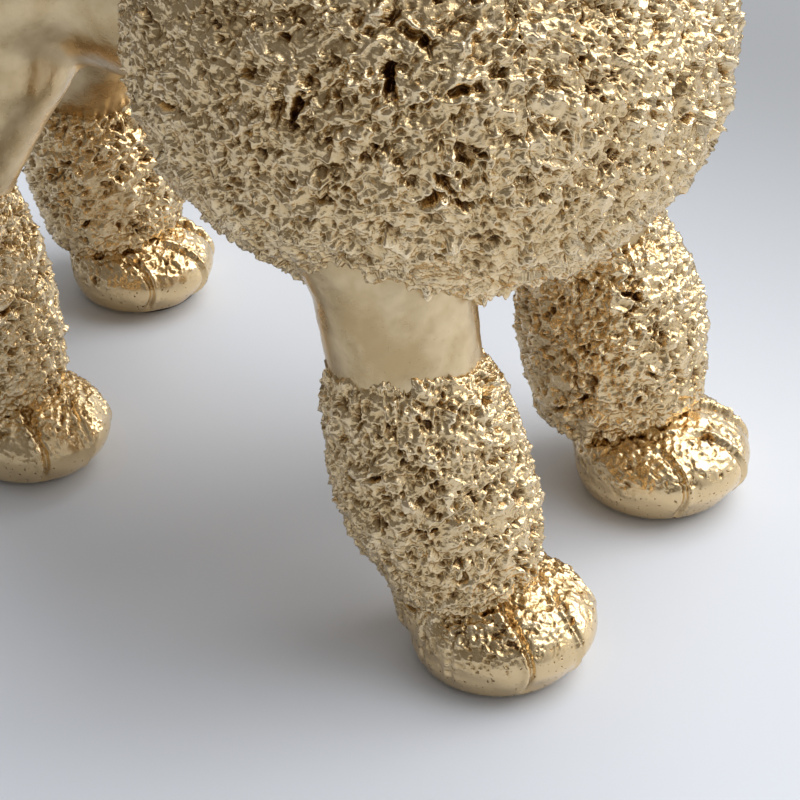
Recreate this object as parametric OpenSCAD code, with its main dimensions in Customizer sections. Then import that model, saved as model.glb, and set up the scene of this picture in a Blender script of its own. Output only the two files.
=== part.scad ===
// Standing poodle figurine, assembled from hollow slip castings luted together,
// with a crusted clay coat built up over the smooth castings.
// Millimetres. The dog faces -Y, its right side is -X, and +Z is up.
// The origin lies on the table under the middle of the dog's length.

/* [Overall] */
// Length from the nose tip to the back of the tail pompon
body_length = 282; // [262:1:300]
// Height of the mane's widest level above the table
mane_level = 140; // [132:1:170]
// Wall thickness of the hollow castings
cast_wall = 4.5; // [3:0.5:6]
// Gap filled with slip between two luted pieces
lute_gap = 0.2; // [0.1:0.05:0.4]

/* [Mane] */
// Radius of the mane at its widest level
mane_r = 74; // [66:1:86]
// Drop from the widest level to the mane's underside
mane_drop = 60; // [54:1:66]
// Rise from the widest level to the mane's top
mane_rise = 72; // [64:1:82]
// Thickness of the crusted coat over the chest
coat_t = 8; // [6:0.5:10]
// Distance of the nose tip in front of the mane's axis
nose_reach = 101; // [95:1:107]
// Half of the angle that each shoulder pad covers
shoulder_half_angle = 50; // [46:1:54]

/* [Loin and hips] */
// Radius of the loin behind the mane
loin_r = 30; // [25:1:32]
// Radius of the hips
hip_r = 33; // [28:1:36]
// Distance of the rump's end in front of the back of the tail pompon
rump_inset = 31; // [25:1:37]
// Diameter of the firing vent in the belly
vent_d = 5; // [3:0.5:8]

/* [Front legs] */
// Distance of each front leg's centre from the middle plane
front_side = 43; // [41:0.5:46]
// Distance of the front ankles in front of the mane's axis
front_ankle_reach = 39; // [35:0.5:45]
// Height of the front ankles above the table
front_ankle_z = 19.5; // [18:0.5:23]
// Forward lean of the front legs in degrees
front_lean = 15.5; // [13:0.1:19]
// Leg radius at the ankle
front_ankle_r = 13; // [11:0.5:14.5]
// Leg radius at the top of the front bracelets
front_cuff_top_r = 18.3; // [16:0.1:19]
// Leg radius where it meets the mane
front_top_r = 20; // [18:0.5:21]
// Length of the front bracelets along the leg
front_cuff_l = 57; // [46:1:64]
// Largest radius of the front bracelets
front_cuff_r = 24.7; // [22:0.1:29]

/* [Rear legs] */
// Distance of each rear leg's centre from the middle plane
rear_side = 41; // [38:0.5:46]
// Distance of the right rear ankle behind the hips' middle
rear_right_behind = -4; // [-11:0.5:19]
// Distance of the left rear ankle behind the hips' middle
rear_left_behind = 20; // [9:0.5:23]
// Height of the rear ankles above the table
rear_ankle_z = 16; // [14:0.5:20]
// Forward lean of the lower rear legs in degrees
rear_lean = 14; // [8:0.5:20]
// Leg radius at the rear ankle
rear_ankle_r = 11; // [9:0.5:12]
// Leg radius at the top of the rear bracelets
rear_top_r = 15.5; // [13:0.5:16.5]
// Length of the right rear bracelet
rear_right_cuff_l = 60; // [44:1:66]
// Length of the left rear bracelet
rear_left_cuff_l = 46; // [40:1:66]
// Largest radius of the rear bracelets
rear_cuff_r = 19.5; // [18.5:0.1:25]

/* [Paws] */
// Length of the front paws
front_paw_l = 48; // [42:0.5:54]
// Width of the front paws
front_paw_w = 46; // [40:0.5:52]
// Length of the rear paws
rear_paw_l = 44; // [38:0.5:50]
// Width of the rear paws
rear_paw_w = 41; // [36:0.5:46]
// Distance of the front paws' middles in front of their ankles
front_paw_fore = 10.5; // [8:0.5:13]
// Distance of the front paws' middles inward of their ankles
front_paw_tuck = 2; // [0:0.5:4]
// Distance of the rear paws' middles in front of their ankles
rear_paw_fore = 7; // [5:0.5:9]
// Thickness of the felt pads under the paws
felt_t = 1; // [0.5:0.5:3]
// Distance of the felt pads' edges inside the paws' outlines
felt_inset = 5; // [3:0.5:8]

/* [Neck and head] */
// Forward lean of the neck in degrees
neck_lean = 22; // [16:1:28]
// Outer radius of the neck tube
neck_r = 16; // [14:0.5:18]
// Largest radius of the ruff round the neck
ruff_r = 42; // [36:1:48]
// Radius of the skull
skull_r = 24; // [22:0.5:27]
// Height of the skull's centre above the mane's top
skull_rise = 46; // [42:1:56]
// Distance of the skull's centre in front of the mane's axis
skull_fore = 36; // [32:1:40]
// Radius of the muzzle's tip
muzzle_tip_r = 9.5; // [8:0.5:11]
// Downward tilt of the muzzle in degrees
muzzle_tilt = 9; // [2:1:16]
// Radius of the nose
nose_r = 5; // [4:0.25:6]
// Radius of the eyes
eye_r = 4; // [3:0.25:5]
// Half width of the topknot
topknot_half_w = 31; // [27:1:35]
// Half height of the topknot
topknot_half_h = 27; // [24:1:32]

/* [Ears] */
// Length of the ear flaps
ear_l = 64; // [52:1:72]
// Width of the ear flaps
ear_w = 34; // [28:1:38]
// Thickness of the ear flaps
ear_t = 14; // [11:0.5:16]

/* [Tail] */
// Length of the bare tail between the rump and the pompon
tail_l = 20; // [14:1:26]
// Backward lean of the tail in degrees
tail_lean = 20; // [12:1:26]
// Radius of the tail at the rump
tail_r = 9; // [7.5:0.5:10.5]
// Radius of the tail's pompon
pom_r = 25; // [21:0.5:29]

/* [Hidden] */

gold = "#d9bd83";
coat_gold = "#c9aa6c";
felt_grey = "#3a3a3c";
big = 400;
side_fn = 72;       // facets round turned pieces in a preview
hull_fn = 28;       // facets of the spheres inside a hull
profile_steps = 12; // steps in a quarter of a turned egg

RIGHT = -1;
LEFT = 1;

spigot_play = 0.3;    // radial room round every spigot
ankle_spigot_l = 9;   // depth of the ankle sockets
ankle_spigot_r = 6.5;
body_spigot_r = 8;    // spigots that pass through the body's wall
leg_bore_r = 4;       // hollow of the slender leg castings
tenon_r = 4;          // ear tenons
tail_bore_r = 3;
tail_socket_r = 5.5;

// ---- Points that several pieces share ----
mane_fore = body_length / 2 - nose_reach;
mane_c = [0, -mane_fore, mane_level];
core_r = mane_r - coat_t;
core_drop = mane_drop - coat_t;
core_rise = mane_rise - coat_t;

skull_c = [0, -mane_fore - skull_fore, mane_level + mane_rise + skull_rise];
muzzle_root = skull_c + [0, -skull_r * 0.4, -skull_r * 0.2];
muzzle_root_r = skull_r * 0.62;
nose_y = -body_length / 2 + nose_r;
muzzle_dir = [0, -cos(muzzle_tilt), -sin(muzzle_tilt)];
muzzle_l = (muzzle_root[1] - nose_y) / cos(muzzle_tilt) - muzzle_tip_r + 1;
muzzle_tip = muzzle_root + muzzle_dir * muzzle_l;
nose_c = [0, nose_y, muzzle_tip[2] + muzzle_tip_r * 0.35];

neck_top = skull_c + [0, 6, -8];
neck_dir = [0, -sin(neck_lean), cos(neck_lean)];
neck_len = skull_rise + 18;
neck_foot = neck_top - neck_dir * neck_len;
ruff_at = 30; // height of the ruff's widest ring along the neck

loin_level = mane_level - 6;
rump_back = body_length / 2 - rump_inset;
hip_y = rump_back - hip_r - 6;

front_leg_reach = (mane_level - front_ankle_z) / cos(front_lean); // ankle to the mane's widest level
front_leg_l = front_leg_reach - 23.05; // casting length from the ankle to its end inside the coat
front_spigot_l = front_leg_reach - 13.05;
hip_x = 22;        // middle of each thigh's root

tail_dir = [0, sin(tail_lean), cos(tail_lean)];
pom_c = [0, body_length / 2 - pom_r, loin_level + hip_r + tail_l + pom_r * 0.85];
tail_below = tail_l + pom_r + 22; // the tail's foot lies this far below the pompon's centre
tail_foot = pom_c - tail_dir * tail_below;

front_dir = [0, sin(front_lean), cos(front_lean)];
rear_dir = [0, sin(rear_lean), cos(rear_lean)];

function front_ankle(side) = [side * front_side, -mane_fore - front_ankle_reach, front_ankle_z];
function rear_ankle(side) =
    [side * rear_side, hip_y + (side == RIGHT ? rear_right_behind : rear_left_behind), rear_ankle_z];
function rear_cuff_l(side) = side == RIGHT ? rear_right_cuff_l : rear_left_cuff_l;
function paw_centre(ankle, fore, tuck) = [ankle[0] - sign(ankle[0]) * tuck, ankle[1] - fore, 0];

// ---- Shape helpers ----

// Children's +Z runs from p along direction d
module along(p, d) {
    translate(p)
        rotate([0, acos(d[2] / norm(d)), atan2(d[1], d[0])])
            children();
}

// Half outline of an egg: radius r, drop below and rise above its widest level
function egg_outline(r, drop, rise) = [
    for (i = [-profile_steps:profile_steps])
        let (a = 90 * i / profile_steps)
        [max(0, r * cos(a)), (i < 0 ? drop : rise) * sin(a)]
];

// The same outline from the top down, to close a skin's inner side
function egg_outline_down(r, drop, rise) =
    let (up = egg_outline(r, drop, rise), n = len(up))
    [for (i = [0:n - 1]) up[n - 1 - i]];

module egg(r, drop, rise) {
    rotate_extrude($fn = side_fn)
        polygon(egg_outline(r, drop, rise));
}

// ---- Torso ----

// Outside of the chest casting that the mane is built on
module chest_core(grow = 0) {
    translate(mane_c)
        egg(core_r + grow, core_drop + grow, core_rise + grow);
}

// Outside of the mane
module mane_skin(grow = 0) {
    translate(mane_c)
        egg(mane_r + grow, mane_drop + grow, mane_rise + grow);
}

// Outside of the smooth loin and hips, turned about the dog's length
module loin_skin(grow = 0) {
    along([0, -mane_fore, loin_level], [0, 1, 0])
        rotate_extrude($fn = side_fn)
            polygon([
                [0, 0],
                [loin_r + grow, 0],
                [loin_r + grow, mane_fore + hip_y - 30],
                [(loin_r + 3 * hip_r) / 4 + grow, mane_fore + hip_y - 12],
                [hip_r + grow, mane_fore + hip_y],
                [hip_r * 0.97 + grow, mane_fore + hip_y + hip_r * 0.3],
                [hip_r * 0.86 + grow, mane_fore + hip_y + hip_r * 0.58],
                [hip_r * 0.62 + grow, mane_fore + rump_back - hip_r * 0.34],
                [hip_r * 0.32 + grow * 0.7, mane_fore + rump_back - hip_r * 0.16 + grow * 0.7],
                [0, mane_fore + rump_back + grow - hip_r * 0.1]
            ]);
}

// Casting hollow right through the chest, the loin and the hips
module body_shell() {
    color(gold) difference() {
        union() {
            chest_core();
            loin_skin();
        }
        chest_core(-cast_wall);
        loin_skin(-cast_wall);
        along(neck_foot, neck_dir)
            cylinder(r = neck_r + spigot_play, h = neck_len, $fn = side_fn);
        for (side = [RIGHT, LEFT]) {
            along(front_ankle(side), front_dir)
                cylinder(r = body_spigot_r + spigot_play, h = front_spigot_l, $fn = side_fn);
            hip_axis(side)
                cylinder(r = body_spigot_r + spigot_play, h = 40, $fn = side_fn);
        }
        along(tail_foot, tail_dir)
            cylinder(r = tail_socket_r + spigot_play, h = tail_below - pom_r, $fn = side_fn);
        translate([0, mane_r - mane_fore - 2, loin_level - loin_r - 6])
            cylinder(d = vent_d, h = cast_wall + 12, $fn = 32);
    }
}

// ---- Mane: four coat pads turned round the chest, parted along upright planes ----

// Coat between two angles round the chest; the children are the places left open
module mane_pad(from, to) {
    color(coat_gold) difference() {
        translate(mane_c)
            rotate([0, 0, from + 0.1])
                rotate_extrude(angle = to - from - 0.2, $fn = side_fn)
                    polygon(concat(
                        egg_outline(mane_r, mane_drop, mane_rise),
                        egg_outline_down(core_r + lute_gap, core_drop + lute_gap, core_rise + lute_gap)
                    ));
        along(neck_foot, neck_dir)
            cylinder(r = neck_r + lute_gap, h = neck_len, $fn = side_fn);
        children();
    }
}

module mane_chest() {
    mane_pad(180 + shoulder_half_angle, 360 - shoulder_half_angle);
}

module mane_right_shoulder() {
    mane_pad(180 - shoulder_half_angle, 180 + shoulder_half_angle) {
        front_leg_skin(RIGHT, lute_gap);
        front_spigot(RIGHT, lute_gap);
    }
}

module mane_left_shoulder() {
    mane_pad(-shoulder_half_angle, shoulder_half_angle) {
        front_leg_skin(LEFT, lute_gap);
        front_spigot(LEFT, lute_gap);
    }
}

module mane_back() {
    mane_pad(shoulder_half_angle, 180 - shoulder_half_angle)
        loin_skin(lute_gap);
}

// ---- Front legs ----

// Tapered outside of the leg, from the ankle to its end inside the coat
module front_leg_skin(side, grow = 0) {
    along(front_ankle(side), front_dir)
        rotate_extrude($fn = side_fn)
            polygon([
                [0, 0],
                [front_ankle_r + grow, 0],
                [front_cuff_top_r + grow, front_cuff_l],
                [front_top_r + grow, front_cuff_l + 20],
                [front_top_r + grow, front_leg_l + grow],
                [0, front_leg_l + grow]
            ]);
}

// Spigot that runs on from the leg into the chest
module front_spigot(side, grow = 0) {
    along(front_ankle(side), front_dir)
        translate([0, 0, front_cuff_l])
            cylinder(r = body_spigot_r + grow, h = front_spigot_l - front_cuff_l - 1 + grow, $fn = side_fn);
}

// Leg cut to a saddle that sits on the chest, with spigots into the chest and the paw
module front_leg(side) {
    color(gold) difference() {
        union() {
            difference() {
                front_leg_skin(side);
                chest_core(lute_gap);
            }
            front_spigot(side);
            along(front_ankle(side), front_dir)
                translate([0, 0, -ankle_spigot_l])
                    cylinder(r = ankle_spigot_r, h = ankle_spigot_l + 1, $fn = side_fn);
        }
        along(front_ankle(side), front_dir) {
            translate([0, 0, -ankle_spigot_l - 1])
                cylinder(r = leg_bore_r, h = front_spigot_l + ankle_spigot_l + 2, $fn = side_fn);
            translate([0, 0, cast_wall])
                cylinder(r1 = front_ankle_r - cast_wall, r2 = front_cuff_top_r - cast_wall,
                         h = front_cuff_l, $fn = side_fn);
        }
    }
}

// ---- Rear legs ----

// Line on which each thigh's spigot passes through the hip's wall
module hip_axis(side) {
    along([side * hip_x * 0.7, hip_y + 4, loin_level + 1], [side, 0, 0])
        children();
}

// Outside of the thigh, from the top of the bracelet to the hip
module thigh_skin(side) {
    low = rear_ankle(side) + rear_dir * rear_cuff_l(side);
    hull() {
        translate([side * hip_x, hip_y + 4, loin_level + 2])
            sphere(r = hip_r * 0.77, $fn = hull_fn);
        translate([side * (hip_x + 5), hip_y, loin_level - 22])
            sphere(r = hip_r * 0.6, $fn = hull_fn);
        along(low, rear_dir)
            cylinder(r = rear_top_r + 0.8, h = 4, $fn = hull_fn);
    }
}

// Thigh and hock in one casting, with spigots into the hip and the paw
module rear_leg(side) {
    color(gold) difference() {
        union() {
            difference() {
                thigh_skin(side);
                difference() {
                    loin_skin(lute_gap);
                    hip_axis(side)
                        cylinder(r = body_spigot_r, h = 24, $fn = side_fn);
                }
            }
            along(rear_ankle(side), rear_dir)
                cylinder(r1 = rear_ankle_r, r2 = rear_top_r, h = rear_cuff_l(side) + 2, $fn = side_fn);
            along(rear_ankle(side), rear_dir)
                translate([0, 0, -ankle_spigot_l])
                    cylinder(r = ankle_spigot_r, h = ankle_spigot_l + 1, $fn = side_fn);
        }
        along(rear_ankle(side), rear_dir) {
            translate([0, 0, -ankle_spigot_l - 1])
                cylinder(r = leg_bore_r, h = ankle_spigot_l + cast_wall + 2, $fn = side_fn);
            translate([0, 0, cast_wall])
                cylinder(r1 = rear_ankle_r - cast_wall, r2 = rear_top_r - cast_wall,
                         h = rear_cuff_l(side), $fn = side_fn);
        }
    }
}

// ---- Bracelets: crusted sleeves round the legs ----

// Sleeve of length l with bore radii at its foot and top, its foot's radius and its largest radius
module bracelet(l, bore_foot, bore_top, foot_r, r) {
    steps = 14;
    rise = r - (foot_r + bore_top + 0.8) / 2;
    rotate_extrude($fn = side_fn)
        polygon(concat(
            [[bore_foot, 0]],
            [for (i = [0:steps]) let (t = i / steps)
                [foot_r * (1 - t) + (bore_top + 0.8) * t + rise * pow(sin(180 * t), 0.6), l * t]],
            [[bore_top, l]]
        ));
}

module front_bracelet(side) {
    color(coat_gold)
        along(front_ankle(side), front_dir)
            bracelet(front_cuff_l, front_ankle_r + lute_gap, front_cuff_top_r + lute_gap,
                     front_ankle_r + 5, front_cuff_r);
}

module rear_bracelet(side) {
    color(coat_gold)
        along(rear_ankle(side), rear_dir)
            bracelet(rear_cuff_l(side) - 0.2, rear_ankle_r + lute_gap, rear_top_r + lute_gap,
                     rear_ankle_r + 4, rear_cuff_r);
}

// ---- Paws ----

// Paw on its felt under an ankle, toes to -Y, with a socket for the leg's spigot
module paw(ankle, dir, fore, tuck, l, w, top_r) {
    centre = paw_centre(ankle, fore, tuck);
    toe_r = w * 0.235;
    difference() {
        union() {
            hull() {
                along(ankle, dir)
                    translate([0, 0, -3])
                        cylinder(r = top_r, h = 2.8, $fn = hull_fn);
                translate(centre + [0, l * 0.5 - w * 0.34, w * 0.28])
                    sphere(r = w * 0.34, $fn = hull_fn);
                for (side = [RIGHT, LEFT])
                    translate(centre + [side * w * 0.18, -l * 0.06, w * 0.27])
                        sphere(r = w * 0.3, $fn = hull_fn);
            }
            for (i = [-1.5:1:1.5]) {
                swing = 36 * i;
                hull() {
                    translate(centre + [sin(swing) * (w * 0.5 - toe_r), -cos(swing) * (l * 0.5 - toe_r), toe_r * 0.85])
                        sphere(r = toe_r, $fn = 20);
                    translate(centre + [sin(swing) * w * 0.22, -cos(swing) * l * 0.2, ankle[2] + 4 - toe_r])
                        sphere(r = toe_r * 0.95, $fn = 20);
                }
            }
        }
        translate([0, 0, -big / 2 + felt_t])
            cube(big, center = true);
        along(ankle, dir) {
            translate([0, 0, -ankle_spigot_l - 0.5])
                cylinder(r = ankle_spigot_r + spigot_play, h = ankle_spigot_l + 1, $fn = side_fn);
            translate([0, 0, -lute_gap])
                cylinder(r = w, h = w, $fn = side_fn);
        }
    }
}

module front_paw(side) {
    color(gold)
        paw(front_ankle(side), front_dir, front_paw_fore, front_paw_tuck, front_paw_l, front_paw_w,
            front_ankle_r + 5);
}

module rear_paw(side) {
    color(gold)
        paw(rear_ankle(side), rear_dir, rear_paw_fore, 0, rear_paw_l, rear_paw_w, rear_ankle_r + 4);
}

module front_felt(side) {
    color(felt_grey)
        translate(paw_centre(front_ankle(side), front_paw_fore, front_paw_tuck))
            cylinder(r = front_paw_w / 2 - felt_inset, h = felt_t, $fn = side_fn);
}

module rear_felt(side) {
    color(felt_grey)
        translate(paw_centre(rear_ankle(side), rear_paw_fore, 0))
            cylinder(r = rear_paw_w / 2 - felt_inset, h = felt_t, $fn = side_fn);
}

// ---- Neck ----

module neck_tube() {
    color(gold)
        along(neck_foot, neck_dir)
            difference() {
                cylinder(r = neck_r, h = neck_len, $fn = side_fn);
                translate([0, 0, -1])
                    cylinder(r = neck_r - cast_wall, h = neck_len + 2, $fn = side_fn);
            }
}

// Crusted collar between the mane and the head
module neck_ruff() {
    color(coat_gold) difference() {
        along(neck_foot, neck_dir)
            rotate_extrude($fn = side_fn)
                polygon(concat(
                    [for (a = [-90:15:75])
                        [neck_r + lute_gap + (ruff_r - neck_r) * cos(a), ruff_at + (a < 0 ? 36 : 30) * sin(a)]],
                    [[neck_r + lute_gap, ruff_at + 30]]
                ));
        mane_skin(lute_gap);
        translate(skull_c) sphere(r = skull_r + lute_gap, $fn = side_fn);
        muzzle_skin(lute_gap);
        for (side = [RIGHT, LEFT]) ear_skin(side, lute_gap);
    }
}

// ---- Head ----

// Outside of the muzzle: a round taper with a rounded tip
module muzzle_skin(grow = 0) {
    along(muzzle_root, muzzle_dir)
        cylinder(r1 = muzzle_root_r + grow, r2 = muzzle_tip_r - 0.25 + grow, h = muzzle_l, $fn = side_fn);
    translate(muzzle_tip)
        sphere(r = muzzle_tip_r + grow, $fn = side_fn);
}

function eye_point(side) = skull_c + [side * 0.48, -0.84, 0.26] * skull_r;

module head_shell() {
    color(gold) difference() {
        union() {
            translate(skull_c) sphere(r = skull_r, $fn = side_fn);
            muzzle_skin();
        }
        translate(skull_c) sphere(r = skull_r - cast_wall, $fn = side_fn);
        along(muzzle_root, muzzle_dir)
            cylinder(r1 = muzzle_root_r - cast_wall, r2 = muzzle_tip_r - cast_wall, h = muzzle_l, $fn = side_fn);
        along(neck_foot, neck_dir)
            cylinder(r = neck_r + spigot_play, h = neck_len + 0.5, $fn = side_fn);
        translate(nose_c) sphere(r = nose_r + lute_gap, $fn = side_fn);
        for (side = [RIGHT, LEFT]) {
            translate(eye_point(side)) sphere(r = eye_r + lute_gap, $fn = side_fn);
            ear_axis(side) cylinder(r = tenon_r + spigot_play, h = 26, center = true, $fn = side_fn);
        }
    }
}

module nose() {
    color(gold) translate(nose_c) sphere(r = nose_r, $fn = side_fn);
}

module eye(side) {
    color(gold) translate(eye_point(side)) sphere(r = eye_r, $fn = side_fn);
}

// Crusted cap of hair on the skull
module topknot_coat() {
    color(coat_gold) difference() {
        translate(skull_c + [0, 6, skull_r])
            scale([topknot_half_w, topknot_half_w * 1.1, topknot_half_h])
                sphere(r = 1, $fn = side_fn);
        translate(skull_c) sphere(r = skull_r + lute_gap, $fn = side_fn);
        muzzle_skin(lute_gap);
        for (side = [RIGHT, LEFT]) {
            ear_skin(side, lute_gap);
            translate(eye_point(side)) sphere(r = eye_r + lute_gap, $fn = side_fn);
        }
    }
}

// ---- Ears ----

module ear_axis(side) {
    along(skull_c + [side * skull_r, 8, 2], [side, 0, 0])
        children();
}

// Flap hanging from the side of the skull, wider below and its tip a little outward
module ear_skin(side, grow = 0) {
    translate(skull_c + [side * (skull_r + ear_t * 0.42), 8, -ear_l * 0.2])
        rotate([0, 90 - side * 8, 0])
            translate([0, 0, -ear_t / 2 - grow])
                linear_extrude(ear_t + 2 * grow)
                    polygon([for (i = [0:31]) let (a = 360 * i / 32)
                        [(ear_l / 2 + grow) * cos(a), (ear_w / 2 * (1 + 0.16 * cos(a)) + grow) * sin(a)]]);
}

module ear(side) {
    color(coat_gold) union() {
        difference() {
            ear_skin(side);
            translate(skull_c) sphere(r = skull_r + lute_gap, $fn = side_fn);
        }
        ear_axis(side)
            translate([0, 0, -cast_wall - 2])
                cylinder(r = tenon_r, h = cast_wall + 6, $fn = side_fn);
    }
}

// ---- Tail ----

// Stem with a spigot into the rump and another into the pompon
module tail_stem() {
    bare_end = tail_below - pom_r + 3;
    color(gold) difference() {
        union() {
            difference() {
                along(tail_foot, tail_dir)
                    cylinder(r1 = tail_r, r2 = tail_r * 0.8, h = bare_end, $fn = side_fn);
                loin_skin(lute_gap);
            }
            along(tail_foot, tail_dir)
                translate([0, 0, 4])
                    cylinder(r = tail_socket_r, h = bare_end + pom_r * 0.5, $fn = side_fn);
        }
        along(tail_foot, tail_dir)
            cylinder(r = tail_bore_r, h = bare_end + pom_r, $fn = side_fn);
    }
}

module tail_pompon() {
    bare_end = tail_below - pom_r + 3;
    color(coat_gold) difference() {
        translate(pom_c) sphere(r = pom_r, $fn = side_fn);
        along(tail_foot, tail_dir) {
            cylinder(r = tail_r * 0.8 + lute_gap, h = bare_end + lute_gap, $fn = side_fn);
            cylinder(r = tail_socket_r + spigot_play, h = bare_end + pom_r * 0.5 + 5, $fn = side_fn);
        }
    }
}

// ---- Nodes ----

body_shell();
neck_tube();
head_shell();
nose();
eye(RIGHT);  // right_eye
eye(LEFT);  // left_eye
ear(RIGHT);  // right_ear
ear(LEFT);  // left_ear
topknot_coat();
neck_ruff();
mane_chest();
mane_right_shoulder();
mane_left_shoulder();
mane_back();
front_leg(RIGHT);  // front_right_leg
front_leg(LEFT);  // front_left_leg
rear_leg(RIGHT);  // rear_right_leg
rear_leg(LEFT);  // rear_left_leg
front_bracelet(RIGHT);  // front_right_bracelet
front_bracelet(LEFT);  // front_left_bracelet
rear_bracelet(RIGHT);  // rear_right_bracelet
rear_bracelet(LEFT);  // rear_left_bracelet
front_paw(RIGHT);  // front_right_paw
front_paw(LEFT);  // front_left_paw
rear_paw(RIGHT);  // rear_right_paw
rear_paw(LEFT);  // rear_left_paw
front_felt(RIGHT);  // front_right_felt
front_felt(LEFT);  // front_left_felt
rear_felt(RIGHT);  // rear_right_felt
rear_felt(LEFT);  // rear_left_felt
tail_stem();
tail_pompon();
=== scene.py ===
import math

import bmesh
import bpy
import numpy as np
from mathutils import Matrix, Vector


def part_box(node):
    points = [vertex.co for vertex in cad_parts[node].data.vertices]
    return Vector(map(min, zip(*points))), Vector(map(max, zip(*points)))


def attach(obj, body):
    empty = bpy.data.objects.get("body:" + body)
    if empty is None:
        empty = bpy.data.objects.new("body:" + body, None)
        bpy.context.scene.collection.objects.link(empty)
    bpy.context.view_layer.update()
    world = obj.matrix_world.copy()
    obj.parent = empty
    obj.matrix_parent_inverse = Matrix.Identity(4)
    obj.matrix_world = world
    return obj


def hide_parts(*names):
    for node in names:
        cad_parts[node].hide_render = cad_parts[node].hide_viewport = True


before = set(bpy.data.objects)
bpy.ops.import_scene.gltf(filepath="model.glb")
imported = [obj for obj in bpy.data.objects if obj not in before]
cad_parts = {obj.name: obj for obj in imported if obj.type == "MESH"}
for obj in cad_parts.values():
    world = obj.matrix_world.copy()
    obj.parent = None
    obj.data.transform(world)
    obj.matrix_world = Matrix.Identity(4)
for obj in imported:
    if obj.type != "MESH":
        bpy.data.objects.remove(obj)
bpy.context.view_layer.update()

MM = 0.001


# ---- Torso and haunches ----
# The chest, loin and hips are one hollow slip casting, and each thigh is another, luted on with
# slip and sponged smooth while damp, so the join shows only as a soft fold under the flank.
# All of it is earthenware under a satin champagne-gold metallic glaze.

def corners(node):
    """A CAD node's lowest and highest corners as vectors."""
    low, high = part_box(node)
    return Vector(low), Vector(high)


def middle(node):
    """The middle of a CAD node's box."""
    low, high = corners(node)
    return (low + high) / 2


class Field:
    """A value flowing through a node tree, so that sums are written as sums."""

    def __init__(self, tree, socket):
        self.tree, self.socket = tree, socket

    def math(self, operation, *others):
        return self.tree.add("ShaderNodeMath", {"operation": operation},
                             dict(enumerate((self, *others))))

    def __add__(self, other): return self.math("ADD", other)
    def __radd__(self, other): return self.math("ADD", other)
    def __sub__(self, other): return self.math("SUBTRACT", other)
    def __rsub__(self, other): return self.tree.number("SUBTRACT", other, self)
    def __mul__(self, other): return self.math("MULTIPLY", other)
    def __rmul__(self, other): return self.math("MULTIPLY", other)
    def __truediv__(self, other): return self.math("DIVIDE", other)
    def __rtruediv__(self, other): return self.tree.number("DIVIDE", other, self)
    def __pow__(self, other): return self.math("POWER", other)
    def __abs__(self): return self.math("ABSOLUTE")


class Tree:
    """A node tree that is filled one node at a time."""

    def __init__(self, tree):
        self.tree = tree

    def plug(self, socket, value):
        if isinstance(value, Field):
            self.tree.links.new(value.socket, socket)
        else:
            socket.default_value = value

    def add(self, kind, settings=None, inputs=None, output=0):
        """Adds a node of that kind, its settings first, then its inputs by name or number."""
        node = self.tree.nodes.new(kind)
        for name, value in (settings or {}).items():
            if name == "stops":
                ramp = node.color_ramp.elements
                while len(ramp) < len(value):
                    ramp.new(1.0)
                for stop, (place, colour) in zip(ramp, value):
                    stop.position, stop.color = place, (*colour, 1.0)
            else:
                setattr(node, name, value)
        for name, value in (inputs or {}).items():
            self.plug(node.inputs[name], value)
        return Field(self, node.outputs[output]) if node.outputs else node

    def number(self, operation, a, b):
        return self.add("ShaderNodeMath", {"operation": operation}, {0: a, 1: b})

    def vector(self, operation, a, b):
        return self.add("ShaderNodeVectorMath", {"operation": operation}, {0: a, 1: b})

    def scaled(self, a, factor):
        return self.add("ShaderNodeVectorMath", {"operation": "SCALE"}, {0: a, "Scale": factor})

    def noise(self, where, size, detail=2.0, rough=0.5, output=0):
        """Soft random values from 0 to 1, in patches about as large as size."""
        inputs = {"Vector": where, "Scale": 1 / size, "Detail": detail, "Roughness": rough}
        return self.add("ShaderNodeTexNoise", {"noise_dimensions": "3D"}, inputs, output)

    def smooth_step(self, value, low, high, to_low=0.0, to_high=1.0):
        inputs = {"Value": value, "From Min": low, "From Max": high,
                  "To Min": to_low, "To Max": to_high}
        return self.add("ShaderNodeMapRange", {"interpolation_type": "SMOOTHSTEP"}, inputs)

    def blend_colours(self, factor, a, b):
        return self.add("ShaderNodeMix", {"data_type": "RGBA"}, {0: factor, 6: a, 7: b}, 2)


def new_material(name):
    """An empty material's tree and its shader node."""
    material = bpy.data.materials.new(name)
    material.use_nodes = True
    return material, Tree(material.node_tree), material.node_tree.nodes["Principled BSDF"]


def satin_gold():
    """Metallic glaze on smooth clay: a little orange peel, thinner and browner in soft patches."""
    material, t, shader = new_material("satin gold glaze")
    place = t.scaled(t.add("ShaderNodeTexCoord", output="Object"), 1 / MM)
    patches = t.smooth_step(t.noise(place, 14.0, 3.0, 0.6), 0.35, 0.7)
    speckle = t.smooth_step(t.noise(place, 1.1, 2.0, 0.6), 0.62, 0.78)
    colour = t.blend_colours(patches, (0.56, 0.40, 0.20, 1), (0.78, 0.61, 0.365, 1))
    colour = t.blend_colours(speckle * 0.35, colour, (0.52, 0.38, 0.20, 1))
    t.plug(shader.inputs["Base Color"], colour)
    t.plug(shader.inputs["Roughness"], 0.24 + 0.1 * patches + 0.1 * speckle)
    peel = t.noise(place, 5.0, 3.0, 0.55) + 0.25 * t.noise(place, 0.9, 2.0, 0.5)
    bump = t.add("ShaderNodeBump", None, {"Strength": 0.5, "Distance": 0.35 * MM, "Height": peel})
    t.plug(shader.inputs["Normal"], bump)
    shader.inputs["Metallic"].default_value = 1.0
    shader.inputs["Coat Weight"].default_value = 0.3
    shader.inputs["Coat Roughness"].default_value = 0.15
    return material


SATIN_GOLD = satin_gold()


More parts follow.
